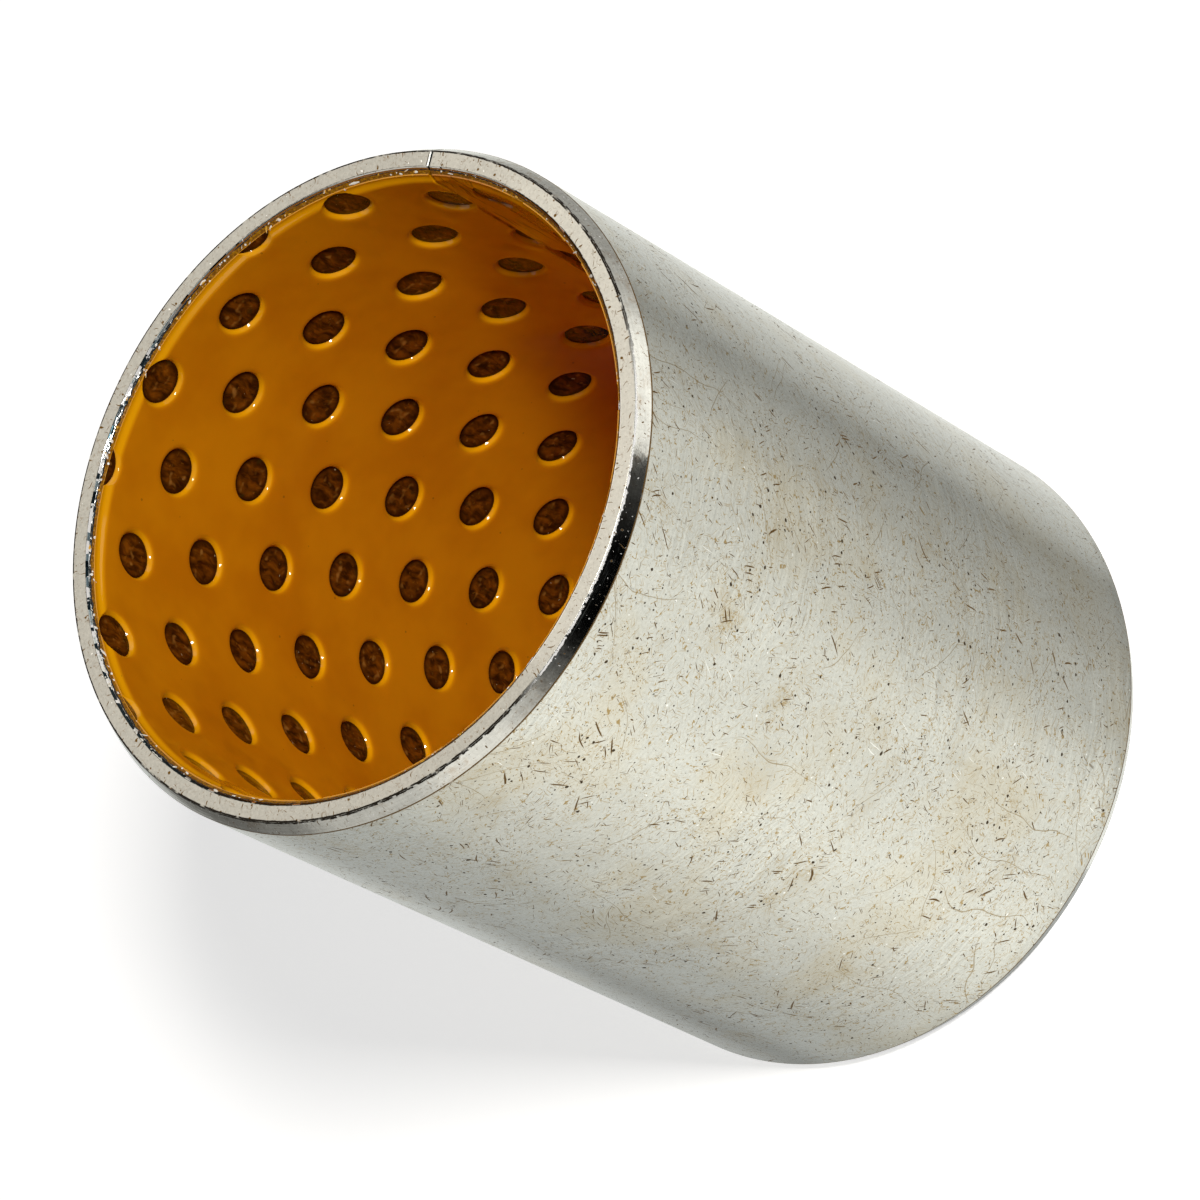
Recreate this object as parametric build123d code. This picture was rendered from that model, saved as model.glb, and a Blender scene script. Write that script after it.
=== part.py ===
from build123d import *

import os
from math import ceil, cos, degrees, pi, radians, sin, sqrt

# Split bush, rolled from a steel strip that carries a sintered bronze layer and a polymer lining.
# The axis is Z, the lower end face lies on Z = 0, and the butt joint faces +X. Millimetres.

length = 50.0
outside_diameter = 39.0

# The strip, from the outside in
steel_wall = 1.5
bronze_wall = 0.2
lining_wall = 0.3

# Ends
outer_chamfer_length = 0.95
outer_chamfer_depth = 0.45
deburr_depth = 0.31           # 45 degree cone, measured where the lining meets the bronze
lead_in_length = 1.25         # taper of the lining from its end to the full bore
lead_in_land = 0.05           # thickness that the lining keeps at its end

# Butt joint, with the lining held back from it
butt_gap = 0.12
plain_edge_setback = 0.12     # on the side where the strip starts
plain_edge_radius = 0.12
thin_edge_setback = 2.2       # on the side where the strip ends
thin_edge_length = 1.5        # this lining edge is rolled thin over this length
thin_edge_land = 0.06

# Grease pockets: leaning rows, each row moved along against the last
pocket_sides = 6
pocket_width = 2.9            # across flats
pocket_floor_wall = 0.04      # lining left between the bronze and the pocket's sides
pocket_pitch = 6.16           # along a row
row_gap = 4.97                # between rows, square to them
row_lean = 14.7               # degrees between a row and the axis
row_shift = 3.39              # from one row to the next, along the row
first_pocket_around = 1.2     # from the butt joint, along the lining's seat
first_pocket_down = 3.75      # from the upper end face
least_pocket_share = 0.3      # of the width that an edge has to leave, or there is no pocket

# Radii that follow
outside_radius = outside_diameter / 2
steel_bore_radius = outside_radius - steel_wall
seat_radius = steel_bore_radius - bronze_wall
bore_radius = seat_radius - lining_wall
past = 0.3                    # how far a cutting tool runs past what it cuts


def both_ends(lower):
    """Closed (radius, height) outline from its lower half, mirrored at mid length."""
    return lower + [(radius, length - height) for radius, height in reversed(lower)]


def ring(outline):
    """Full turn of a closed (radius, height) outline about the axis."""
    return revolve(make_face(Plane.XZ * Polyline(*outline, close=True)), Axis.Z)


def butt_cut():
    """Thin radial slab that parts a ring at the butt joint."""
    reach = outside_radius + past
    height = length + 2 * past
    slab = Box(reach, butt_gap, height, align=(Align.MIN, Align.CENTER, Align.MIN))
    return Pos(0, 0, -past) * slab


def steel_shell():
    """Steel tube with long outer chamfers and a small cone that deburrs the bore edge."""
    face_inner = seat_radius + deburr_depth
    lower = [
        (steel_bore_radius, face_inner - steel_bore_radius),
        (face_inner, 0),
        (outside_radius - outer_chamfer_depth, 0),
        (outside_radius, outer_chamfer_length),
    ]
    return ring(both_ends(lower)) - butt_cut()


def bronze_layer():
    """Bronze tube bonded inside the steel, its ends cut by the same cone."""
    lower = [(seat_radius, deburr_depth), (steel_bore_radius, deburr_depth - bronze_wall)]
    return ring(both_ends(lower)) - butt_cut()


def polar(radius, arc_length):
    """Point in the XY plane, its angle given as an arc length along the lining's seat."""
    angle = arc_length / seat_radius
    return Vector(radius * cos(angle), radius * sin(angle))


def lining_section():
    """Open ring seen along the axis, with a plain edge and an edge that is rolled thin."""
    turn = 2 * pi * seat_radius
    plain_edge = plain_edge_setback
    thin_edge = turn - thin_edge_setback
    thin_start = thin_edge - thin_edge_length
    opposite = (plain_edge + thin_edge) / 2

    seat = ThreePointArc(
        polar(seat_radius, plain_edge), polar(seat_radius, opposite), polar(seat_radius, thin_edge)
    )
    bore = ThreePointArc(
        polar(bore_radius, thin_start), polar(bore_radius, opposite), polar(bore_radius, plain_edge)
    )
    tip = polar(seat_radius - thin_edge_land, thin_edge)
    thinned = TangentArc(bore @ 0, tip, tangent=-(bore % 0))
    outline = [seat, Line(seat @ 1, tip), thinned, bore, Line(bore @ 1, seat @ 0)]
    section = make_face(outline)
    corner = section.vertices().sort_by_distance(bore @ 1)[0]
    return fillet(corner, plain_edge_radius)


def lead_in_cuts():
    """Two rings that taper the lining's ends out from the bore."""
    full = deburr_depth + lead_in_length
    lower = ring([
        (bore_radius, full),
        (seat_radius - lead_in_land, deburr_depth),
        (seat_radius + past, deburr_depth),
        (seat_radius + past, -past),
        (bore_radius - past, -past),
        (bore_radius - past, full),
    ])
    upper = Pos(0, 0, length) * mirror(lower, Plane.XY)
    return [lower, upper]

def pocket_spots():
    """Places (arc length from the butt joint, height) of the pockets that the lining holds."""
    lean = radians(row_lean)
    up_row = Vector(sin(lean), cos(lean))
    row_step = Vector(cos(lean), -sin(lean)) * row_gap + up_row * row_shift
    first = Vector(first_pocket_around, length - first_pocket_down)
    turn = 2 * pi * seat_radius
    reach = pocket_width * (0.5 - least_pocket_share)
    left = plain_edge_setback - reach
    right = turn - thin_edge_setback + reach
    bottom = deburr_depth - reach
    top = length - deburr_depth + reach
    rows = ceil((length + turn) / row_gap)
    places = ceil((length + turn) / pocket_pitch)
    lattice = [first + row_step * row + up_row * pocket_pitch * place
               for row in range(-rows, rows) for place in range(-places, places)]
    return [spot for spot in lattice if left < spot.X < right and bottom < spot.Y < top]


def pocket_cuts():
    """Flat-floored prisms that stand square on the lining, one for each pocket."""
    half_width = pocket_width / 2
    to_corner = half_width / cos(pi / pocket_sides)
    outline = RegularPolygon(to_corner, pocket_sides, rotation=degrees(pi / pocket_sides))
    floor_distance = sqrt((seat_radius - pocket_floor_wall) ** 2 - half_width ** 2)
    floor = Plane((floor_distance, 0, 0), x_dir=(0, 1, 0), z_dir=(-1, 0, 0))
    cutter = extrude(floor * outline, lining_wall + past)
    return [Rot(0, 0, degrees(spot.X / seat_radius)) * Pos(0, 0, spot.Y) * cutter
            for spot in pocket_spots()]


def acetal_lining():
    """Polymer lining, with tapered ends, a thinned edge and pockets."""
    sleeve = extrude(lining_section(), length - 2 * deburr_depth)
    sleeve = Pos(0, 0, deburr_depth) * sleeve
    return sleeve - lead_in_cuts() - pocket_cuts()


nodes = {
    "steel_shell": steel_shell(),
    "bronze_layer": bronze_layer(),
    "acetal_lining": acetal_lining(),
}

os.makedirs("parts", exist_ok=True)
for name, shape in nodes.items():
    export_step(shape, f"parts/{name}.step")
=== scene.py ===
import math
import random

import bmesh
import bpy
from bpy.props import FloatProperty, FloatVectorProperty, IntProperty, PointerProperty
from mathutils import Matrix, Vector


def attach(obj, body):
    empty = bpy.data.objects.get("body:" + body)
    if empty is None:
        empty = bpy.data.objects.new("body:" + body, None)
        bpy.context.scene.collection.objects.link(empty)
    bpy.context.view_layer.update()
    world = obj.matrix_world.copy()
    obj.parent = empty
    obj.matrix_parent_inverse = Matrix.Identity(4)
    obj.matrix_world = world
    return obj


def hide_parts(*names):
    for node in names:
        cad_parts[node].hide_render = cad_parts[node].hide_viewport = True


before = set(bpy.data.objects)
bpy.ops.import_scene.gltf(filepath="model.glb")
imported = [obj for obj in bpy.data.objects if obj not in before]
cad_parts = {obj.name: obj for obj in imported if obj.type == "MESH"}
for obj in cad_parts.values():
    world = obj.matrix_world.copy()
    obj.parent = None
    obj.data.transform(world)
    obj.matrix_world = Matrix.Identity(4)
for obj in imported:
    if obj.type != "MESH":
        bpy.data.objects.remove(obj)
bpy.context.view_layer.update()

bl_info = {
    "name": "Lined wrapped bush",
    "version": (1, 0, 0),
    "blender": (4, 5, 0),
    "location": "View3D > Sidebar > Bush",
    "description": "Builds a split steel bush with a bronze layer and a pocketed polymer lining",
    "category": "Object",
}

MM = 0.001
SOFT_SKY = 0.135  # light of the sky that soft rays see
FACING = 252.2  # heading of the camera, in degrees
FLOOR_GLOW = 0.62  # what the floor adds for the camera
AROUND_RADIUS = 19.5  # radius at which places round the bush are measured
CREASE = math.radians(40)
CAMERA_PLACE = Vector((-73.419, -231.144, 305.299))
CAMERA_RIGHT = Vector((0.23946173, -0.77749539, -0.5815144))
CAMERA_UP = Vector((0.9498984, 0.06369251, 0.30600047))
LENS = 196.3
WHITE = (1.0, 1.0, 1.0)


def length_property(name, description, millimetres):
    return FloatProperty(name=name, description=description, default=millimetres * MM,
                         min=0.0, precision=5, subtype="DISTANCE", unit="LENGTH")


def color_property(name, description, color):
    return FloatVectorProperty(name=name, description=description, default=color,
                               min=0.0, max=1.0, size=3, subtype="COLOR")


class BushStripSizes(bpy.types.PropertyGroup):
    """The rolled strip and its ends."""

    length: length_property("Length", "Length of the bush along its axis", 50.0)
    outside_radius: length_property("Outside radius", "Radius of the steel's outside", 19.5)
    steel_wall: length_property("Steel wall", "Thickness of the steel", 1.5)
    bronze_wall: length_property("Bronze wall", "Thickness of the sintered bronze", 0.2)
    lining_wall: length_property("Lining wall", "Thickness of the polymer lining", 0.3)
    chamfer_length: length_property("Chamfer length", "Outer chamfer, along the axis", 0.95)
    chamfer_depth: length_property("Chamfer depth", "Outer chamfer, square to the axis", 0.45)
    deburr_depth: length_property("Deburring depth", "Cone at the bore's edge, up to the lining", 0.31)
    butt_gap: length_property("Butt gap", "Width of the straight butt joint", 0.12)


class BushLiningSizes(bpy.types.PropertyGroup):
    """The lining's edges and its pockets."""

    lead_in_flat: length_property("Lead-in flat", "Flat run at the lining's end", 0.12)
    lead_in_rise: length_property("Lead-in rise", "Steep run after the flat", 0.60)
    lead_in_length: length_property("Lead-in length", "Whole run from the lining's end to the bore", 1.45)
    lead_in_land: length_property("Lead-in land", "Thickness that the lining keeps at its end", 0.07)
    plain_setback: length_property("Plain edge setback", "From the butt joint to the plain edge", 0.12)
    plain_radius: length_property("Plain edge radius", "Rounding of the plain edge", 0.12)
    thin_setback: length_property("Thin edge setback", "From the butt joint to the thin edge", 2.2)
    thin_length: length_property("Thin edge length", "Run over which the lining is rolled thin", 1.5)
    thin_land: length_property("Thin edge land", "Thickness of the thin edge", 0.06)
    floor_radius: length_property("Pocket floor radius", "Radius of a pocket's floor", 1.28)
    mouth_radius: length_property("Pocket mouth radius", "Radius where the shoulder meets the bore", 1.75)
    floor_wall: length_property("Pocket floor wall", "Lining left under a pocket, at its edge", 0.02)
    floor_crown: length_property("Pocket floor crown", "Rise of the floor at its middle", 0.025)
    pitch: length_property("Pitch", "Between pockets of one row", 6.16)
    row_gap: length_property("Row gap", "Between rows, square to them", 4.97)
    row_shift: length_property("Row shift", "From one row to the next, along the row", 3.39)
    row_lean: FloatProperty(name="Row lean", description="Angle between a row and the axis",
                            default=math.radians(14.7), subtype="ANGLE", unit="ROTATION")
    first_around: length_property("First pocket around", "From the butt joint, round the lining's back", 1.2)
    first_down: length_property("First pocket down", "From the upper end face", 3.75)
    segments: IntProperty(name="Pocket segments", description="Sides of a pocket's rings, a multiple of 4",
                          default=32, min=8, max=64, step=4)


class BushFinishes(bpy.types.PropertyGroup):
    """Colours of the finishes."""

    tin: color_property("Tin", "Plating of the outside", (0.66, 0.66, 0.62))
    cut_tin: color_property("Cut tin", "Plating of the end faces", (0.62, 0.60, 0.545))
    bright_tin: color_property("Bright tin", "Plating of chamfers and deburred edges", (0.77, 0.765, 0.72))
    grime: color_property("Grime", "What fills scratches and edges", (0.15, 0.075, 0.008))
    pits: color_property("Pits", "What fills pinholes", (0.055, 0.031, 0.007))
    bronze: color_property("Bronze", "Cut edge of the sintered layer", (0.42, 0.19, 0.002))
    stained_bronze: color_property("Stained bronze", "Bronze stained by the polymer", (0.22, 0.085, 0.001))
    amber: color_property("Amber", "Polymer lining", (0.85, 0.315, 0.003))
    deep_amber: color_property("Deep amber", "Polymer lining where it is clouded", (0.74, 0.25, 0.002))
    # a lighter, yellower copy of the amber: painted light on the lining's slopes
    painted_light_amber: color_property("Yellow amber", "Polymer lining on its shoulders", (1.0, 0.44, 0.002))
    thin_amber: color_property("Thin amber", "Polymer lining where it is thin", (0.40, 0.13, 0.003))
    pocket_floor: color_property("Pocket floor", "Bronze seen through the thin floor", (0.045, 0.012, 0.001))
    seam: color_property("Edge line", "Dark line round the end faces", (0.016, 0.011, 0.006))
    floor: color_property("Floor", "Studio floor", (0.85, 0.85, 0.85))


def joining(operation, swapped=False):
    """Method of a wire that joins it to other values, or to none, with one node."""
    def method(self, *others):
        return self.join(operation, *others, self) if swapped else self.join(operation, self, *others)
    return method


class Wire:
    """A socket that can be used in Python expressions; each operator adds its node."""

    def __init__(self, socket):
        self.socket = socket
        self.tree = socket.id_data

    def join(self, operation, *values, clamp=False):
        sockets = dict(enumerate(values))
        kinds = [v.socket.type if isinstance(v, Wire) else type(v) for v in values]
        if {"VECTOR", "RGBA", tuple}.intersection(kinds):
            return make(self.tree, "ShaderNodeVectorMath", {"operation": operation}, sockets)
        return make(self.tree, "ShaderNodeMath", {"operation": operation, "use_clamp": clamp}, sockets)

    __add__ = joining("ADD")
    __radd__ = joining("ADD", swapped=True)
    __sub__ = joining("SUBTRACT")
    __rsub__ = joining("SUBTRACT", swapped=True)
    __mul__ = joining("MULTIPLY")
    __rmul__ = joining("MULTIPLY", swapped=True)
    __truediv__ = joining("DIVIDE")
    __pow__ = joining("POWER")
    __abs__ = joining("ABSOLUTE")
    __lt__ = joining("LESS_THAN")
    __gt__ = joining("GREATER_THAN")
    least = joining("MINIMUM")
    most = joining("MAXIMUM")
    root = joining("SQRT")
    sine = joining("SINE")
    cosine = joining("COSINE")
    floor = joining("FLOOR")
    remainder = joining("MODULO")
    angle_from = joining("ARCTAN2")

    def __neg__(self):
        return self * -1.0

    def clamped(self):
        return self.join("ADD", self, 0.0, clamp=True)

    def ramp(self, start, end):
        """0 at start and 1 at end, with a smooth run between them."""
        return make(self.tree, "ShaderNodeMapRange", {"interpolation_type": "SMOOTHSTEP"},
                    {"Value": self, "From Min": start, "From Max": end})

    def parts(self):
        """The three numbers of a vector."""
        node = make(self.tree, "ShaderNodeSeparateXYZ", {}, {0: self}, whole=True)
        return [Wire(output) for output in node.outputs]


def make(tree, kind, settings, sockets, output=0, whole=False):
    """Adds a node: its settings first, then its sockets' values or links."""
    node = tree.nodes.new(kind)
    for name, value in settings.items():
        if name == "stops":
            node.color_ramp.interpolation = "EASE"
            for place, _ in value[1:-1]:
                node.color_ramp.elements.new(place)
            for stop, (place, share) in zip(node.color_ramp.elements, value):
                stop.position = place
                stop.color = (1.0, 1.0, 1.0, share)
        else:
            setattr(node, name, value)
    for key, value in sockets.items():
        socket = node.inputs[key]
        if isinstance(value, Wire):
            tree.links.new(value.socket, socket)
        elif socket.type == "VECTOR" and isinstance(value, float):
            socket.default_value = (value, value, value)
        else:
            socket.default_value = value
    return node if whole else Wire(node.outputs[output])


def vector(x, y, z=0.0):
    return make(x.tree, "ShaderNodeCombineXYZ", {}, {0: x, 1: y, 2: z})


def blend(share, first, second):
    """Colour between first, at share 0, and second, at share 1."""
    first, second = (value if isinstance(value, Wire) else (*value, 1.0) for value in (first, second))
    return make(share.tree, "ShaderNodeMix", {"data_type": "RGBA"}, {0: share, 6: first, 7: second}, output=2)


def layered(color, *layers):
    """The colour under layers of (share, colour), the last one on top."""
    for share, layer in layers:
        color = blend(share, color, layer)
    return color


def noise(place, scale, detail=2.0, roughness=0.5):
    return make(place.tree, "ShaderNodeTexNoise", {},
                {"Vector": place, "Scale": scale, "Detail": detail, "Roughness": roughness})


def random_cells(place):
    """Distance to the nearest of scattered points, one to a unit cell, and its two random numbers."""
    cells = make(place.tree, "ShaderNodeTexVoronoi", {"voronoi_dimensions": "2D", "feature": "F1"},
                 {"Vector": place, "Scale": 1.0}, whole=True)
    chance, size, _ = Wire(cells.outputs["Color"]).parts()
    return Wire(cells.outputs["Distance"]), chance, size


def strokes(place, direction, long, wide, share, seed):
    """Mask of short strokes, long by wide millimetres, that lie in a share of the cells of a tiling."""
    turn = math.radians(direction)
    x, y, _ = place.parts()
    along = (x * math.cos(turn) + y * math.sin(turn)) / (long / 0.8) + seed * 7.31
    across = (y * math.cos(turn) - x * math.sin(turn)) / (wide / 0.8) + seed * 3.17
    distance, chance, length = random_cells(vector(along, across))
    reach = 0.16 + 0.28 * length
    return ((reach - distance) / 0.14).clamped() * (chance < share)


def many_strokes(place, *kinds):
    """Mask of several kinds of strokes, each given as what strokes takes after the place."""
    masks = [strokes(place, *kind) for kind in kinds]
    for mask in masks[1:]:
        masks[0] = masks[0].most(mask)
    return masks[0]


def spots(place, cell, least, greatest, share, seed):
    """Mask of round spots in a share of the cells, with radii from least to greatest millimetres."""
    distance, chance, size = random_cells(place / cell + seed * 5.7)
    radius = least + size * size * (greatest - least)
    return ((radius - distance * cell) / 0.03 + 0.5).clamped() * (chance < share)


def wander(place, scale, reach):
    """The place, pushed about by a noise of that scale, up to reach millimetres."""
    push = make(place.tree, "ShaderNodeTexNoise", {},
                {"Vector": place, "Scale": scale, "Detail": 1.0}, output=1)
    return place + (push - 0.5) * (2.0 * reach, 2.0 * reach, 0.0)


def rolled_place(shader):
    """(around, along) place on the bush in millimetres, with its seam at the butt joint, the radius, the
    height and the object's own coordinates."""
    coordinates = make(shader.id_data, "ShaderNodeTexCoord", {}, {}, output=3)
    x, y, z = (part / MM for part in coordinates.parts())
    angle = (-y).angle_from(-x) + math.pi
    return vector(angle * AROUND_RADIUS, z), (x * x + y * y).root(), z, coordinates


def new_material(name):
    material = bpy.data.materials.new(name)
    material.use_nodes = True
    return material, material.node_tree.nodes["Principled BSDF"]


def feed(shader, **sockets):
    """Links or sets the shader's sockets, whose names are written with underscores."""
    for name, value in sockets.items():
        socket = shader.inputs[name.replace("_", " ")]
        if isinstance(value, Wire):
            value.tree.links.new(value.socket, socket)
        else:
            socket.default_value = value


def bump(height, distance):
    return make(height.tree, "ShaderNodeBump", {}, {"Distance": distance * MM, "Height": height})


def levels(reading, points):
    """Value that eases from each (reading, value) point to the next and is level beyond them."""
    first, last = points[0][0], points[-1][0]
    values = [value for _, value in points]
    least, span = min(values), max(values) - min(values)
    stops = [((place - first) / (last - first), (value - least) / span) for place, value in points]
    place = (reading - first) / (last - first)
    return make(reading.tree, "ShaderNodeValToRGB", {"stops": stops}, {"Fac": place}, output=1) * span + least


def hairs(place, scale, width, seed):
    """Mask of thin winding lines in short pieces."""
    field = noise(place + seed * 3.7, scale, detail=2.0)
    pieces = noise(place + seed * 9.1, scale * 2.2, detail=1.0).ramp(0.52, 0.6)
    return abs(field - 0.5).ramp(width, width * 0.3) * pieces


def toned(tone, color):
    """The colour, made darker or lighter by the tone."""
    return make(tone.tree, "ShaderNodeMix", {"data_type": "RGBA", "blend_type": "MULTIPLY"},
                {0: 1.0, 6: (*color, 1.0), 7: vector(tone, tone, tone)}, output=2)


def edge_line(reading, at, width, breaks):
    """Broken line, width millimetres wide, where the reading passes a value."""
    return abs(reading - at).ramp(width, width * 0.65) * breaks


def outside_finish(finishes):
    """Rolled and tin-plated strip: pale, with pinholes, ticks, scars, hairlines, light stains and painted
    glints.
    """
    material, shader = new_material("tin_rolled")
    place, _, along, _ = rolled_place(shader)
    bent = wander(wander(place, 0.16, 1.8), 0.8, 0.12)
    ragged = wander(place, 3.0, 0.09)
    gathered = noise(place, 0.15, detail=4.0, roughness=0.65).ramp(0.47, 0.57)
    pits = spots(ragged, 1.0, 0.028, 0.078, 0.32, 1).most(spots(ragged, 0.5, 0.022, 0.046, 0.40, 2))
    pits = pits.most(spots(ragged, 0.6, 0.03, 0.11, 0.22 * gathered, 16))
    ticks = many_strokes(
        bent, (62, 0.5, 0.055, 0.025, 3), (110, 0.45, 0.055, 0.02, 4), (15, 0.5, 0.055, 0.02, 5))
    faint = many_strokes(
        bent, (40, 0.8, 0.05, 0.10, 31), (95, 0.7, 0.05, 0.12, 32), (150, 0.8, 0.05, 0.10, 33))
    scars = many_strokes(bent, (55, 1.5, 0.12, 0.05 * gathered, 6), (118, 1.1, 0.11, 0.06 * gathered, 7))
    hairlines = many_strokes(
        bent, (88, 16.0, 0.08, 0.012, 8), (38, 7.0, 0.07, 0.012, 9), (142, 6.0, 0.07, 0.012, 10))
    crackle = hairs(bent, 1.3, 0.019, 11).most(hairs(ragged, 2.6, 0.026, 12) * (0.35 + gathered * 0.65))
    crackle = crackle.most(faint * 0.55)
    # painted glints: white spots and strokes that stand for small highlights on the tin
    painted_glints = spots(ragged, 1.7, 0.02, 0.07, 0.25, 13).most(strokes(bent, 75, 1.3, 0.05, 0.004, 14))
    brushing = noise(bent * (0.16, 5.5, 1.0), 1.0, detail=3.0)
    drawing = noise(place * (6.0, 0.4, 1.0), 1.0, detail=3.0)
    clouds = noise(place, 0.3, detail=4.0, roughness=0.6)
    grain = noise(place, 5.0, detail=3.0, roughness=0.8)
    patches = noise(place, 0.09, detail=2.0).ramp(0.48, 0.60)
    stains = noise(bent, 0.2, detail=5.0, roughness=0.7).ramp(0.52, 0.72) * grain.ramp(0.35, 0.62)
    tone = 0.58 + clouds * 0.14 + grain * 0.66 + (brushing - 0.5) * (0.12 + patches * 0.55)
    tone = tone + (drawing - 0.5) * 0.08 - along.ramp(2.4, 1.0) * 0.10
    haze = noise(place, 0.12, detail=3.0, roughness=0.6).ramp(0.49, 0.66)
    breaks = noise(place, 1.3, detail=3.0).ramp(0.2, 0.42)
    lower_edge, upper_edge = 0.97, 49.03
    rims = edge_line(along, lower_edge, 0.04, breaks).most(edge_line(along, upper_edge, 0.04, breaks))
    marks = ticks.most(scars).most(rims)
    color = layered(
        toned(tone, finishes.tin), (haze * 0.32, (0.62, 0.54, 0.38)),
        (stains * (0.3 + gathered * 0.45), (0.40, 0.28, 0.09)), (crackle * 0.85, (0.35, 0.22, 0.05)),
        (hairlines * 0.6, (0.24, 0.15, 0.035)), (painted_glints, (0.95, 0.95, 0.93)),
        (marks, finishes.grime), (pits, finishes.pits))
    marks = marks.most(pits)
    rough = 0.155 + (clouds - 0.5) * 0.08 + (grain - 0.5) * 0.10 + marks * 0.3 + stains * 0.1 - painted_glints * 0.1
    feed(shader, Base_Color=color, Metallic=1.0 - marks * 0.3, Roughness=rough,
         Normal=bump(brushing * 0.16 + drawing * 0.10 + grain * 0.22, 0.012))
    return material


def edge_highlight_share(around):
    """Share of the end's edges, by the place round the bush, that carries a painted highlight instead of a
    dark edge line.
    """
    return levels(around, ((79.5, 0.0), (82, 1.0), (98, 1.0), (104, 0.0)))


def end_finish(finishes):
    """Cut end face: duller and warmer than the outside, with dents, specks, short marks, painted glints, a
    painted highlight on its edges in one sector and painted shade outside it.
    """
    material, shader = new_material("tin_end")
    place, radius, _, _ = rolled_place(shader)
    around, _, _ = place.parts()
    flat = vector(around, radius)
    bent = wander(flat, 1.4, 0.3)
    specks = spots(wander(flat, 3.0, 0.08), 0.7, 0.02, 0.09, 0.5, 11)
    specks = specks.most(many_strokes(bent, (90, 0.5, 0.08, 0.05, 12), (35, 0.6, 0.07, 0.03, 13)))
    crackle = hairs(bent, 2.2, 0.03, 14)
    # painted highlights: white glint spots, and a white strip beside the butt joint
    painted_glints = spots(bent, 0.9, 0.015, 0.05, 0.3, 15)
    painted_butt_highlight = around.ramp(0.145, 0.12)
    grain = noise(flat, 5.0, detail=4.0, roughness=0.75)
    dents = noise(bent * (1.6, 0.7, 1.0), 1.0, detail=3.0)
    shades = noise(flat * (0.12, 0.0, 1.0), 1.0, detail=2.0)
    # painted highlight: in this sector the end face's edges are painted white instead of dark
    highlight_sector = edge_highlight_share(around)
    # painted shade: the end face is darker outside the highlight's sector
    painted_side_shade = levels(around, ((80, 0.22), (84, 0.0), (113, 0.0), (119, 0.12)))
    tone = 0.56 + grain * 0.62 + dents * 0.16 + shades * 0.12 - painted_side_shade
    breaks = noise(flat, 1.6, detail=3.0).ramp(0.30, 0.45)
    wavy = radius + (noise(flat, 1.9, detail=4.0, roughness=0.7) - 0.5) * 0.12
    outer_edge, bore_edge, joint_edge = 19.01, 18.12, 0.18
    rims = edge_line(wavy, outer_edge, 0.06, breaks * (1.0 - highlight_sector))
    inner = edge_line(wavy, bore_edge, 0.035, breaks)
    rims = rims.most(inner * (1.0 - highlight_sector)).most(edge_line(around, joint_edge, 0.03, breaks))
    color = layered(
        toned(tone, finishes.cut_tin), (crackle * 0.5, (0.25, 0.17, 0.10)),
        (painted_glints.most(inner * highlight_sector).most(painted_butt_highlight), (0.95, 0.94, 0.90)), (specks, finishes.grime),
        (rims, finishes.seam))
    feed(shader, Base_Color=color, Metallic=1.0 - rims.most(specks * 0.3),
         Roughness=0.34 + (grain - 0.5) * 0.25, Specular_IOR_Level=0.1,
         Normal=bump(grain * 0.35 + dents * 0.9, 0.04))
    return material


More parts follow.
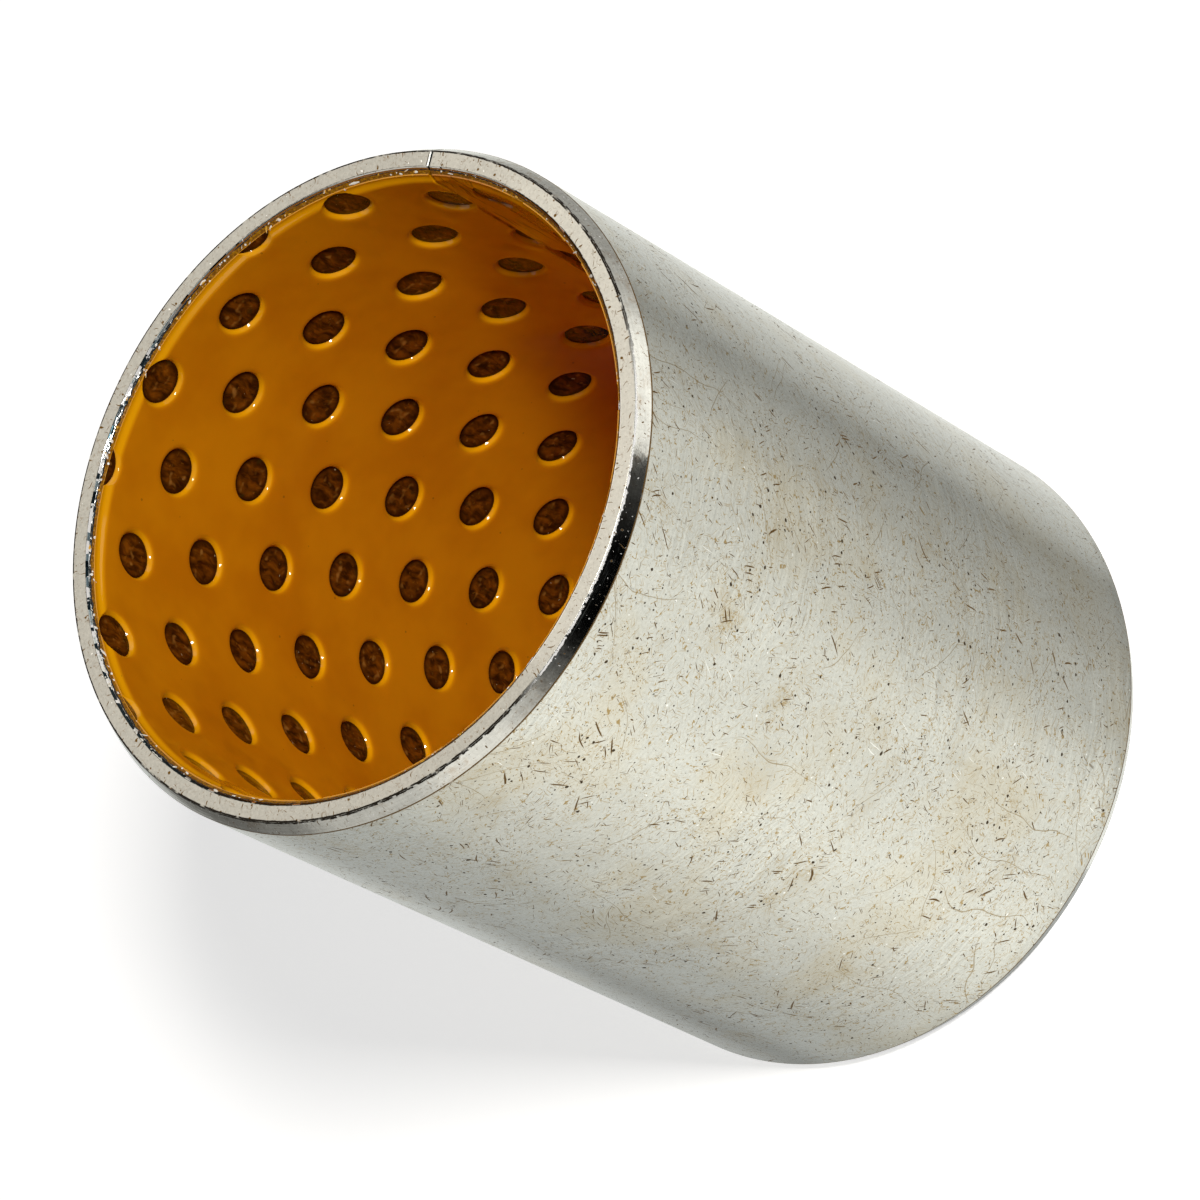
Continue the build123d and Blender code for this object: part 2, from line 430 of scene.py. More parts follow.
def chamfer_finish(finishes):
    """Turned chamfer and deburred edge: smooth, with fine lines that run round it, painted glints, painted
    highlights and painted dark reflections.
    """
    material, shader = new_material("tin_turned")
    place, radius, along, _ = rolled_place(shader)
    around, _, _ = place.parts()
    lines = noise(vector(around * 0.25, (radius + along) * 14.0), 1.0, detail=2.0)
    waves = noise(vector(around * 0.9, along * 1.6), 1.0, detail=3.0)
    nicks = strokes(wander(place, 1.5, 0.2), 80, 0.6, 0.07, 0.02, 21)
    pushed = wander(place, 2.0, 0.2)
    specks = spots(pushed, 0.6, 0.015, 0.05, 0.35, 22)
    # painted glints: small white spots
    painted_glints = spots(pushed, 0.45, 0.01, 0.036, 0.6, 23)
    breaks = noise(place, 1.5, detail=3.0).ramp(0.2, 0.42)
    lower_edge, upper_edge, outer_edge = 0.93, 49.07, 19.07
    rims = edge_line(along, lower_edge, 0.035, breaks).most(edge_line(along, upper_edge, 0.035, breaks))
    gaps = noise(place, 2.1, detail=3.0).ramp(0.36, 0.46)
    wavy = radius + (noise(place, 1.7, detail=4.0, roughness=0.7) - 0.5) * 0.14
    # painted highlight: in this sector the chamfer's outer edge is painted white instead of dark
    highlight_sector = edge_highlight_share(around)
    line = edge_line(wavy, outer_edge, 0.05, gaps * (1.0 - highlight_sector))
    # painted highlight: a white line along the outer edge, in the highlight sector
    painted_lip_highlight = (radius + (noise(place, 3.6, detail=3.0, roughness=0.7) - 0.5) * 0.15).ramp(19.12, 19.105)
    painted_lip_highlight = painted_lip_highlight * highlight_sector * noise(place, 2.4, detail=2.0).ramp(0.35, 0.42)
    cone = radius.ramp(18.3, 18.2)
    # painted dark reflection: dark teal blots on the deburred edge, more of them where runs is low
    runs = levels(around, (
        (8, 0.64), (15, 0.53), (44, 0.53), (50, 0.44), (70, 0.36), (112, 0.36), (117, 0.64)))
    # painted highlight: white patches on the deburred edge in one range round the bush
    pale = noise(vector(around * 0.8, radius * 0.4), 1.0, detail=4.0, roughness=0.6).ramp(0.46, 0.49)
    pale = pale * levels(around, ((19, 0), (25, 1), (44, 1), (52, 0))) * cone
    painted_dark_reflection = (noise(vector(around * 0.9, radius), 1.0, detail=2.0) - runs).ramp(0.0, 0.012) * cone
    streaks = noise(vector(around * 2.2, along * 0.5), 1.0, detail=4.0, roughness=0.7)
    grain = noise(place, 6.0, detail=3.0, roughness=0.75)
    stains = noise(vector(around * 0.6, along * 0.9), 1.0, detail=4.0, roughness=0.7).ramp(0.5, 0.68)
    marks = nicks.most(specks).most(rims)
    painted_glints = painted_glints.most(painted_lip_highlight).most(pale * 0.9)
    glow = radius.ramp(18.075, 18.055) * levels(around, ((18, 1), (23, 0), (108, 0), (114, 1)))
    color = layered(
        toned(0.31 + streaks * 0.4 + lines * 0.36 + grain * 0.44, finishes.bright_tin),
        (stains * 0.4, (0.40, 0.27, 0.15)), (hairs(place, 2.0, 0.022, 24) * 0.6, (0.22, 0.13, 0.06)),
        (painted_glints, WHITE), (marks, finishes.grime), (line, finishes.seam), (painted_dark_reflection, (0.01, 0.02, 0.025)),
        (glow * (1.0 - painted_glints), (0.30, 0.11, 0.008)))
    feed(shader, Base_Color=color, Metallic=1.0 - painted_glints.most(marks * 0.4).most(line).most(glow),
         Roughness=0.06 + waves * 0.05 + streaks * 0.06 + marks * 0.3 + line * 0.3, Specular_IOR_Level=0.1,
         Normal=bump(lines * 1.2 + waves * 3.0, 0.006))
    return material


def bronze_finish(finishes):
    """Cut edge of the sintered layer: smeared with tin outside, stained by the polymer inside, with painted
    shade along the groove between them and painted dark reflection in breaks of the tin.
    """
    material, shader = new_material("sintered_bronze")
    place, radius, _, coordinates = rolled_place(shader)
    grain = noise(coordinates, 7000.0, detail=2.0)
    lumps = noise(coordinates, 1700.0, detail=1.0)
    wavy = radius + (noise(place, 2.5, detail=3.0) - 0.5) * 0.16
    around, _, _ = place.parts()
    start = levels(around, ((16, 18.02), (23, 17.955), (44, 17.955), (56, 18.0), (110, 18.0)))
    tin = (wavy - start).ramp(0.0, 0.015)
    # painted shade: a dark teal line along the groove inside the tin; the dark breaks in the tin below are
    # painted dark reflection
    painted_groove_shade = (wavy - start).ramp(-0.055, -0.04) * (1.0 - tin)
    color = layered(
        finishes.stained_bronze, (grain.ramp(0.42, 0.66), finishes.bronze), (tin, (0.85, 0.84, 0.82)),
        (painted_groove_shade.most(tin * lumps.ramp(0.50, 0.55)), (0.012, 0.02, 0.025)))
    feed(shader, Base_Color=color, Metallic=tin, Roughness=0.15 + lumps * 0.3,
         Specular_IOR_Level=0.2)
    return material


def bright_finish():
    """Burnished bits of bronze and tin that cling to the cut edge."""
    material, shader = new_material("bright_bits")
    _, _, _, coordinates = rolled_place(shader)
    mix = noise(coordinates, 1400.0, detail=1.0).ramp(0.54, 0.62)
    feed(shader, Base_Color=blend(mix, (1.0, 0.98, 0.90), (0.85, 0.45, 0.03)), Metallic=0.0,
         Roughness=0.3)
    return material


def amber_finish(finishes):
    """Glossy amber polymer: yellower on shoulders and the lead-in, which is painted light, browner where
    thin, and streaked beside the butt joint.
    """
    material, shader = new_material("amber_polymer")
    place, radius, _, _ = rolled_place(shader)
    around, _, _ = place.parts()
    clouds = noise(place, 0.16, detail=3.0, roughness=0.55)
    smears = noise(place, 0.6, detail=4.0, roughness=0.65)
    dust = spots(place, 2.2, 0.03, 0.09, 0.15, 31)
    # painted light: shoulders and lead-in take the lighter yellow copy of the amber
    shoulder = radius.ramp(17.505, 17.60) * around.ramp(117.6, 115.6)
    thin = radius.ramp(17.70, 17.77)
    streaks = noise(wander(place, 0.5, 0.4) * (2.6, 0.22, 1.0), 1.0, detail=4.0, roughness=0.7)
    beside = around.ramp(118.0, 120.0).most(around.ramp(0.7, 0.2))
    color = layered(
        finishes.amber, (clouds.ramp(0.35, 0.7), finishes.deep_amber), (shoulder, finishes.painted_light_amber),
        (thin * 0.35, finishes.thin_amber), (streaks.ramp(0.52, 0.64) * beside * 0.6, (0.10, 0.03, 0.003)),
        (dust * 0.4, (0.12, 0.05, 0.01)))
    feed(shader, Base_Color=color, Roughness=0.07 + smears.ramp(0.45, 0.8) * 0.07, IOR=1.48,
         Normal=bump(clouds + smears * 0.3, 0.04))
    return material


def pocket_floor_finish(finishes):
    """Floor of a pocket: bronze grain seen dimly through thin glossy polymer, with painted shade that keeps
    it darkest at its edge, and painted glints.
    """
    material, shader = new_material("pocket_floor")
    place, radius, _, _ = rolled_place(shader)
    # painted shade: fibres, flecks and glow only away from the edge, so the floor's edge keeps the dark base
    # colour
    middle = radius.ramp(17.777, 17.761)
    fibres = noise(wander(place, 0.9, 0.4) * (2.2, 0.9, 1.0), 1.0, detail=2.0, roughness=0.6)
    pushed = wander(place, 2.0, 0.3)
    flecks = spots(pushed, 0.42, 0.02, 0.10, 0.35, 41)
    green = noise(place, 1.1, detail=3.0).ramp(0.63, 0.70)
    # painted glints: small cream spots on the floor
    painted_floor_glints = spots(pushed, 0.7, 0.015, 0.06, 0.12, 42)
    glow = noise(place, 1.6, detail=1.0).ramp(0.58, 0.78) * middle
    color = layered(
        finishes.pocket_floor, (fibres.ramp(0.30, 0.78) * middle, (0.28, 0.084, 0.004)),
        (flecks * middle * 0.35, (0.42, 0.16, 0.015)), (glow * 0.6, (0.55, 0.26, 0.05)),
        (green * 0.35, (0.06, 0.05, 0.01)), (painted_floor_glints * 0.6, (0.70, 0.60, 0.38)))
    feed(shader, Base_Color=color, Roughness=0.14, IOR=1.48, Specular_IOR_Level=0.25,
         Normal=bump(fibres, 0.035))
    return material


def rounded(outline, radii, steps):
    """Closed (radius, height) outline with its corners rounded; gives (point, corner index) pairs."""
    points = []
    for index, (corner, radius) in enumerate(zip(outline, radii)):
        corner = Vector(corner)
        before = (Vector(outline[index - 1]) - corner).normalized()
        after = (Vector(outline[(index + 1) % len(outline)]) - corner).normalized()
        half = before.angle(after) / 2
        reach = radius / math.tan(half)
        centre = corner + (before + after).normalized() * radius / math.sin(half)
        start = corner + before * reach - centre
        end = corner + after * reach - centre
        for step in range(steps + 1):
            share = step / steps
            spoke = (start * (1 - share) + end * share).normalized() * radius
            points.append((centre + spoke, index))
    return points


def skinned(mesh, loops):
    """Faces between the loops of vertices and a cap at each end; gives the side faces and their places."""
    count = len(loops[0])
    sides = []
    for first, second in zip(loops, loops[1:]):
        for index in range(count):
            following = (index + 1) % count
            corners = (first[index], first[following], second[following], second[index])
            sides.append((mesh.faces.new(corners), index))
    mesh.faces.new(loops[0])
    mesh.faces.new(loops[-1])
    return sides


def swept_ring(name, profile, stations, materials):
    """Closed split ring: profile points and their material indices at (angle, inset) stations, capped."""
    mesh = bmesh.new()
    count = len(profile)
    outward = []
    for index in range(count):
        run = profile[(index + 1) % count][0] - profile[index - 1][0]
        outward.append(Vector((run.y, -run.x)).normalized())
    loops = []
    for angle, inset in stations:
        loop = []
        for (point, _), normal in zip(profile, outward):
            radius, height = point - normal * inset
            loop.append(mesh.verts.new((radius * math.cos(angle), radius * math.sin(angle), height)))
        loops.append(loop)
    for face, index in skinned(mesh, loops):
        face.material_index = profile[index][1]
        face.smooth = True
    bmesh.ops.triangulate(mesh, faces=[face for face in mesh.faces if len(face.verts) > 4])
    bmesh.ops.recalc_face_normals(mesh, faces=mesh.faces)
    return finished_object(name, mesh, materials)


def linked(name, data):
    """New object of the scene, with this data."""
    made = bpy.data.objects.new(name, data)
    bpy.context.scene.collection.objects.link(made)
    return made


def crease_edges(mesh):
    for edge in mesh.edges:
        edge.smooth = len(edge.link_faces) != 2 or edge.calc_face_angle(0.0) < CREASE


def finished_object(name, mesh, materials):
    """Object in the scene, from a bmesh, with edges past the crease angle left sharp."""
    crease_edges(mesh)
    data = bpy.data.meshes.new(name)
    mesh.to_mesh(data)
    mesh.free()
    for material in materials:
        data.materials.append(material)
    return linked(name, data)


def placed(piece, node):
    """The piece rides on the bush and stands for a CAD node."""
    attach(piece, "root")
    if node:
        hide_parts(node)


class BUSH_OT_steel(bpy.types.Operator):
    """Build the plated steel backing with its butt joint and rounded edges"""

    bl_idname = "bush.steel"
    bl_label = "Steel backing"

    def execute(self, context):
        strip = context.scene.bush_strip
        finishes = context.scene.bush_finishes
        outer = strip.outside_radius
        inner = outer - strip.steel_wall
        face_inner = inner - strip.bronze_wall + strip.deburr_depth
        low = [(inner, face_inner - inner), (face_inner, 0.0), (outer - strip.chamfer_depth, 0.0),
               (outer, strip.chamfer_length)]
        outline = low + [(radius, strip.length - height) for radius, height in reversed(low)]
        radii = [0.02 * MM, 0.03 * MM, 0.06 * MM, 0.06 * MM]
        profile = rounded(outline, radii + radii[::-1], 4)
        bands = {0: 2, 1: 1, 2: 2, 3: 0, 4: 2, 5: 1, 6: 2, 7: 0}
        profile = [(point, bands[corner]) for point, corner in profile]
        half_gap = strip.butt_gap / 2 / strip.outside_radius
        rounding = [(0.0, 0.05), (0.015, 0.02), (0.05, 0.0)]
        edge = [(half_gap + run * MM / strip.outside_radius, inset * MM) for run, inset in rounding]
        sides = 480
        between = [(math.tau * step / sides, 0.0) for step in range(1, sides)]
        stations = edge + between + [(math.tau - angle, inset) for angle, inset in reversed(edge)]
        materials = [outside_finish(finishes), end_finish(finishes), chamfer_finish(finishes)]
        steel = swept_ring("steel_backing", profile, stations, materials)
        placed(steel, "steel_shell")
        return {"FINISHED"}


class BUSH_OT_bronze(bpy.types.Operator):
    """Build the sintered bronze layer, whose cut ends are grainy"""

    bl_idname = "bush.bronze"
    bl_label = "Bronze layer"

    def execute(self, context):
        strip = context.scene.bush_strip
        outer = strip.outside_radius - strip.steel_wall
        seat = outer - strip.bronze_wall
        rows = 5
        sides = 1500
        chance = random.Random(4)
        mesh = bmesh.new()
        half_gap = strip.butt_gap / 2 / seat
        rings = []
        for side in range(sides + 1):
            angle = half_gap + (math.tau - 2 * half_gap) * side / sides
            ring = []
            for low in (True, False):
                for row in range(rows + 1):
                    share = row / rows if low else 1 - row / rows
                    radius = seat + (outer - seat) * share
                    height = strip.deburr_depth - strip.bronze_wall * share
                    if 0 < row < rows:
                        radius += chance.uniform(-0.012, 0.012) * MM
                        height += chance.uniform(-0.02, 0.03) * MM
                    elif radius < (seat + outer) / 2:
                        height += chance.uniform(-0.02, 0.0) * MM
                    height = height if low else strip.length - height
                    ring.append(mesh.verts.new((radius * math.cos(angle), radius * math.sin(angle), height)))
            rings.append(ring)
        skinned(mesh, rings)
        bmesh.ops.triangulate(mesh, faces=mesh.faces)
        bmesh.ops.recalc_face_normals(mesh, faces=mesh.faces)
        finish = bronze_finish(context.scene.bush_finishes)
        bronze = finished_object("bronze_layer_grain", mesh, [finish])
        placed(bronze, "bronze_layer")
        return {"FINISHED"}


def node_group(name, inputs):
    """Empty geometry tree with a geometry socket, named inputs and a geometry output."""
    tree = bpy.data.node_groups.new(name, "GeometryNodeTree")
    face = tree.interface
    face.new_socket("Geometry", in_out="OUTPUT", socket_type="NodeSocketGeometry")
    face.new_socket("Geometry", in_out="INPUT", socket_type="NodeSocketGeometry")
    for label, kind, value in inputs:
        socket = face.new_socket(label, in_out="INPUT", socket_type=kind)
        if value is not None:
            socket.default_value = value
    entry = tree.nodes.new("NodeGroupInput")
    return tree, {output.name: Wire(output) for output in entry.outputs if output.name}


def send_out(tree, geometry):
    output = tree.nodes.new("NodeGroupOutput")
    tree.links.new(geometry.socket, output.inputs[0])
    return tree


def painted(tree, geometry, material):
    """The geometry as plain mesh, with the material set."""
    realized = make(tree, "GeometryNodeRealizeInstances", {}, {"Geometry": geometry})
    return make(tree, "GeometryNodeSetMaterial", {}, {"Geometry": realized, "Material": material})


def through_group(made, tree, values):
    """Turns the object's mesh into what the tree makes of it with these input values."""
    modifier = made.modifiers.new(tree.name, "NODES")
    modifier.node_group = tree
    for item in tree.interface.items_tree:
        if item.in_out == "INPUT" and item.name in values:
            modifier[item.identifier] = values[item.name]
    evaluated = made.evaluated_get(bpy.context.evaluated_depsgraph_get())
    mesh = bpy.data.meshes.new_from_object(evaluated)
    made.modifiers.remove(modifier)
    old = made.data
    made.data = mesh
    bpy.data.meshes.remove(old)


def pocket_field_group():
    """Tree that repeats one cell of the lining over the strip's leaning rows."""
    number = "NodeSocketFloat"
    tree, given = node_group("pocket_field", [
        ("Row", "NodeSocketVector", None), ("Next row", "NodeSocketVector", None),
        ("First pocket", "NodeSocketVector", None), ("Width", number, 0.1), ("Height", number, 0.05),
        ("Margin", number, 0.006), ("Places", "NodeSocketInt", 60), ("Rows", "NodeSocketInt", 60),
        ("Finish", "NodeSocketMaterial", None)])
    places, rows = given["Places"], given["Rows"]
    points = make(tree, "GeometryNodePoints", {}, {"Count": places * rows})
    index = make(tree, "GeometryNodeInputIndex", {}, {})
    place = index.remainder(places) - (places / 2.0).floor()
    row = (index / places).floor() - (rows / 2.0).floor()
    row_step = vector(place, place, place) * given["Row"]
    next_step = vector(row, row, row) * given["Next row"]
    spot = given["First pocket"] + row_step + next_step
    across, up, _ = spot.parts()
    margin = given["Margin"]
    outside = ((across < -margin) + (across > given["Width"] + margin)
               + (up < -margin) + (up > given["Height"] + margin)) > 0.5
    moved = make(tree, "GeometryNodeSetPosition", {}, {"Geometry": points, "Position": spot})
    kept = make(tree, "GeometryNodeDeleteGeometry", {"domain": "POINT"},
                {"Geometry": moved, "Selection": outside})
    cells = make(tree, "GeometryNodeInstanceOnPoints", {}, {"Points": kept, "Instance": given["Geometry"]})
    real = make(tree, "GeometryNodeRealizeInstances", {}, {"Geometry": cells})
    seam = 0.004 * MM
    joined = make(tree, "GeometryNodeMergeByDistance", {}, {"Geometry": real, "Distance": seam})
    return send_out(tree, painted(tree, joined, given["Finish"]))


def lining_group():
    """Tree that thins the flat lining at its edges and rolls it round the axis."""
    number = "NodeSocketFloat"
    tree, given = node_group("rolled_lining", [(name, number, 0.0) for name in (
        "Seat radius", "Wall", "Bottom", "Top", "Lead-in flat", "Lead-in rise", "Lead-in length",
        "Lead-in land", "Plain edge", "Plain radius", "Thin edge", "Thin length", "Thin land", "Butt edge",
        "Closing")])
    position = make(tree, "GeometryNodeInputPosition", {}, {})
    around, up, thickness = position.parts()
    wall = given["Wall"]

    from_end = (up - given["Bottom"]).least(given["Top"] - up)
    land = given["Lead-in land"]
    rise = ((from_end - given["Lead-in flat"]) / given["Lead-in rise"]).clamped()
    rise = rise * rise * (3.0 - 2.0 * rise)
    short = 1.0 - (from_end / given["Lead-in length"]).clamped()
    lead_in = land + (wall - land) * (rise * 0.82 + (1.0 - short * short) * 0.18)
    ripple = noise(vector(around * 900.0, up * 120.0), 1.0, detail=2.0) - 0.5
    beyond = around - given["Thin edge"]
    filled = beyond.ramp(0.0003, 0.0017).most(from_end.ramp(0.0015, 0.009)) * 0.62
    left = 1.0 - (-beyond / given["Thin length"]).clamped()
    foot = given["Thin land"] * (1.0 + ripple)
    foot = foot + (wall - foot) * filled
    thin = wall - (wall - foot) * left * left * left
    radius = given["Plain radius"]
    into = ((radius - (around - given["Plain edge"])) / radius).clamped()
    plain = wall - radius * (1.0 - (1.0 - into * into).root())
    share = thickness / wall
    level = thickness.least(lead_in).least(thin).least(plain)
    level = level * (share > 0.001)
    reach = given["Seat radius"] - level
    from_plain = (around - given["Plain edge"]).ramp(0.0008, 0.0)
    from_butt = (given["Butt edge"] - around).ramp(0.0008, 0.0)
    closing = given["Closing"] * from_end.ramp(0.0003, 0.002)
    angle = (around + closing * (from_butt - from_plain)) / given["Seat radius"]
    rolled = vector(reach * angle.cosine(), reach * angle.sine(), up)
    moved = make(tree, "GeometryNodeSetPosition", {},
                 {"Geometry": given["Geometry"], "Position": rolled})
    return send_out(tree, moved)


def lining_cell(lining, wall, row, next_row):
    """Flat cell of the lining, as wide as the rows' spacing, with one pocket at its centre."""
    segments = lining.segments
    floor, mouth = lining.floor_radius, lining.mouth_radius
    crown = lining.floor_crown
    rings = [(floor * share, lining.floor_wall + crown * (1.0 - share ** 3))
             for share in (0.5, 0.75, 0.9, 1.0)]
    for run, rise in ((0.1, 0.275), (0.2, 0.51), (0.3, 0.7), (0.45, 0.865), (0.68, 0.965), (1.0, 1.0)):
        rings.append((floor + (mouth - floor) * run, lining.floor_wall + (wall - lining.floor_wall) * rise))
    rings.append((mouth * 1.15, wall))
    corners = [(-row - next_row) / 2, (next_row - row) / 2, (row + next_row) / 2, (row - next_row) / 2]
    quarter = segments // 4
    border = []
    for index, corner in enumerate(corners):
        following = corners[(index + 1) % 4]
        border += [corner.lerp(following, step / quarter) for step in range(quarter)]
    first = math.atan2(border[0].y, border[0].x)
    mesh = bmesh.new()
    on_floor = mesh.faces.layers.int.new("on_floor")
    centre = mesh.verts.new((0, 0, lining.floor_wall + crown))
    loops = []
    for radius, height in rings:
        loops.append([mesh.verts.new((radius * math.cos(first + math.tau * side / segments),
                                      radius * math.sin(first + math.tau * side / segments), height))
                      for side in range(segments)])
    last = [vertex.co for vertex in loops[-1]]
    for share in (0.4, 1.0):
        loops.append([mesh.verts.new((*start.xy.lerp(end.xy, share), wall))
                      for start, end in zip(last, border)])
    for side in range(segments):
        following = (side + 1) % segments
        mesh.faces.new((centre, loops[0][side], loops[0][following]))[on_floor] = 1
        for step, (inner, outer) in enumerate(zip(loops, loops[1:])):
            face = mesh.faces.new((inner[side], outer[side], outer[following], inner[following]))
            face[on_floor] = int(step < 3)
    for face in mesh.faces:
        face.smooth = True
    return finished_object("lining_cell", mesh, [])


def closed_strip(mesh):
    """Adds side walls down to the back, and the back itself, to a flat sheet with a straight-sided border."""
    rim = [edge for edge in mesh.edges if edge.is_boundary]
    made = bmesh.ops.extrude_edge_only(mesh, edges=rim)["geom"]
    back = [item for item in made if isinstance(item, bmesh.types.BMVert)]
    for vertex in back:
        vertex.co.z = 0.0
    low = min(vertex.co.y for vertex in back)
    high = max(vertex.co.y for vertex in back)
    bottom, top = [sorted((v for v in back if abs(v.co.y - end) < 1e-7), key=lambda v: v.co.x)
                   for end in (low, high)]
    left, right = [sorted((v for v in back if abs(v.co.x - end.co.x) < 1e-7 and low < v.co.y < high
                           and v not in bottom and v not in top), key=lambda v: v.co.y)
                   for end in (bottom[0], bottom[-1])]
    mesh.faces.new([bottom[0], *left, top[0], top[1], bottom[1]][::-1])
    mesh.faces.new([bottom[-1], *right, top[-1], top[-2], bottom[-2]])
    i, j = 1, 1
    while i < len(bottom) - 2 or j < len(top) - 2:
        step_low = j >= len(top) - 2 or (i < len(bottom) - 2 and bottom[i + 1].co.x <= top[j + 1].co.x)
        if step_low:
            mesh.faces.new((bottom[i], bottom[i + 1], top[j]))
            i += 1
        else:
            mesh.faces.new((bottom[i], top[j + 1], top[j]))
            j += 1


class BUSH_OT_lining(bpy.types.Operator):
    """Build the amber lining with its grease pockets, rounded ends and thin edge"""

    bl_idname = "bush.lining"
    bl_label = "Polymer lining"

    def execute(self, context):
        strip = context.scene.bush_strip
        lining = context.scene.bush_lining
        finishes = context.scene.bush_finishes
        wall = strip.lining_wall
        seat = strip.outside_radius - strip.steel_wall - strip.bronze_wall
        lean = lining.row_lean
        row = Vector((math.sin(lean), math.cos(lean))) * lining.pitch
        next_row = Vector((math.cos(lean), -math.sin(lean))) * lining.row_gap
        next_row = next_row + row.normalized() * lining.row_shift
        turn = math.tau * seat
        edges = {"left": lining.plain_setback, "right": turn - lining.plain_setback,
                 "thin": turn - lining.thin_setback, "bottom": strip.deburr_depth,
                 "top": strip.length - strip.deburr_depth}
        amber = amber_finish(finishes)
        made = lining_cell(lining, wall, row, next_row)
        made.name = "amber_lining"
        through_group(made, pocket_field_group(), {
            "Row": (*row, 0.0), "Next row": (*next_row, 0.0),
            "First pocket": (lining.first_around, strip.length - lining.first_down, 0.0),
            "Width": turn, "Height": strip.length, "Margin": lining.pitch, "Places": 70, "Rows": 70,
            "Finish": amber})
        mesh = bmesh.new()
        mesh.from_mesh(made.data)
        borders = [((edges["left"], 0, 0), (-1, 0, 0)), ((edges["right"], 0, 0), (1, 0, 0)),
                   ((0, edges["bottom"], 0), (0, -1, 0)), ((0, edges["top"], 0), (0, 1, 0))]
        for place, outward in borders:
            cut(mesh, place, outward, clear=True)
        steep = [lining.lead_in_flat + lining.lead_in_rise * step / 12 for step in range(13)]
        for run in [lining.lead_in_flat / 2, *steep, lining.lead_in_length * 0.6, lining.lead_in_length]:
            cut(mesh, (0, edges["bottom"] + run, 0), (0, 1, 0))
            cut(mesh, (0, edges["top"] - run, 0), (0, 1, 0))
        for share in (0.0, 0.04, 0.09, 0.15, 0.23, 0.34, 0.5, 0.7, 1.0):
            cut(mesh, (edges["thin"] - share * lining.thin_length, 0, 0), (1, 0, 0))
        for share in (0.25, 0.5, 0.75):
            cut(mesh, (edges["thin"] + share * lining.thin_setback, 0, 0), (1, 0, 0))
        for share in (0.1, 0.3, 0.6, 1.0):
            cut(mesh, (edges["left"] + share * lining.plain_radius, 0, 0), (1, 0, 0))
        closed_strip(mesh)
        mesh.to_mesh(made.data)
        mesh.free()
        through_group(made, lining_group(), {
            "Seat radius": seat, "Wall": wall, "Bottom": edges["bottom"], "Top": edges["top"],
            "Lead-in flat": lining.lead_in_flat, "Lead-in rise": lining.lead_in_rise,
            "Lead-in length": lining.lead_in_length, "Lead-in land": lining.lead_in_land,
            "Plain edge": edges["left"], "Plain radius": lining.plain_radius,
            "Thin edge": edges["thin"], "Thin length": lining.thin_length, "Thin land": lining.thin_land,
            "Butt edge": edges["right"], "Closing": lining.plain_setback - 0.002 * MM})
        data = made.data
        data.materials.clear()
        data.materials.append(amber)
        data.materials.append(pocket_floor_finish(finishes))
        mesh = bmesh.new()
        mesh.from_mesh(data)
        bmesh.ops.recalc_face_normals(mesh, faces=mesh.faces)
        crease_edges(mesh)
        on_floor = mesh.faces.layers.int["on_floor"]
        back = seat - lining.floor_wall * 0.4
        for face in mesh.faces:
            face.smooth = True
            if face[on_floor] and max(vertex.co.xy.length for vertex in face.verts) < back:
                face.material_index = 1
        mesh.to_mesh(data)
        mesh.free()
        placed(made, "acetal_lining")
        return {"FINISHED"}


def cut(mesh, place, normal, clear=False):
    """Cuts a flat sheet along a line, and drops what lies outside if clear is set."""
    bmesh.ops.bisect_plane(mesh, geom=mesh.verts[:] + mesh.edges[:] + mesh.faces[:], dist=1e-7,
                           plane_co=place, plane_no=normal, clear_outer=clear)


def grain_group():
    """Tree that scatters small bright bits round a ring at each end."""
    number = "NodeSocketFloat"
    tree, given = node_group("edge_bits", [
        ("Radius", number, 0.0179), ("Band", number, 0.0002), ("Height", number, 0.0002),
        ("Length", number, 0.05), ("Least size", number, 0.00001), ("Greatest size", number, 0.00005),
        ("Gap angle", number, 0.01), ("Count", "NodeSocketInt", 1400), ("Seed", "NodeSocketInt", 7),
        ("Finish", "NodeSocketMaterial", None)])
    seed = given["Seed"]

    def chance(offset, low=0.0, high=1.0):
        return make(tree, "FunctionNodeRandomValue", {"data_type": "FLOAT"},
                    {2: low, 3: high, "Seed": seed + offset}, output=1)

    points = make(tree, "GeometryNodePoints", {}, {"Count": given["Count"]})
    angle = given["Gap angle"] + chance(0) * (math.tau - 2.0 * given["Gap angle"])
    side = chance(1) - 0.5
    radius = given["Radius"] + given["Band"] * side
    low = given["Height"] - given["Band"] * side
    upper = chance(2) > 0.5
    height = low + upper * (given["Length"] - 2.0 * low)
    spot = vector(radius * angle.cosine(), radius * angle.sine(), height)
    placed_points = make(tree, "GeometryNodeSetPosition", {}, {"Geometry": points, "Position": spot})
    bit = make(tree, "GeometryNodeMeshIcoSphere", {}, {"Radius": 1.0, "Subdivisions": 1})
    size = given["Least size"] + (given["Greatest size"] - given["Least size"]) * chance(3)
    cone = (2.0 * upper - 1.0) * math.radians(-135.0)
    turned = vector(chance(4, -0.2, 0.9), cone + chance(5, -0.3, 0.3), angle + chance(6, -0.2, 0.2))
    bits = make(tree, "GeometryNodeInstanceOnPoints", {}, {
        "Points": placed_points, "Instance": bit, "Rotation": turned,
        "Scale": vector(size * 0.28, size * (0.8 + chance(7) ** 3.0 * 3.0), size * (0.5 + chance(8) * 0.4))})
    return send_out(tree, painted(tree, bits, given["Finish"]))


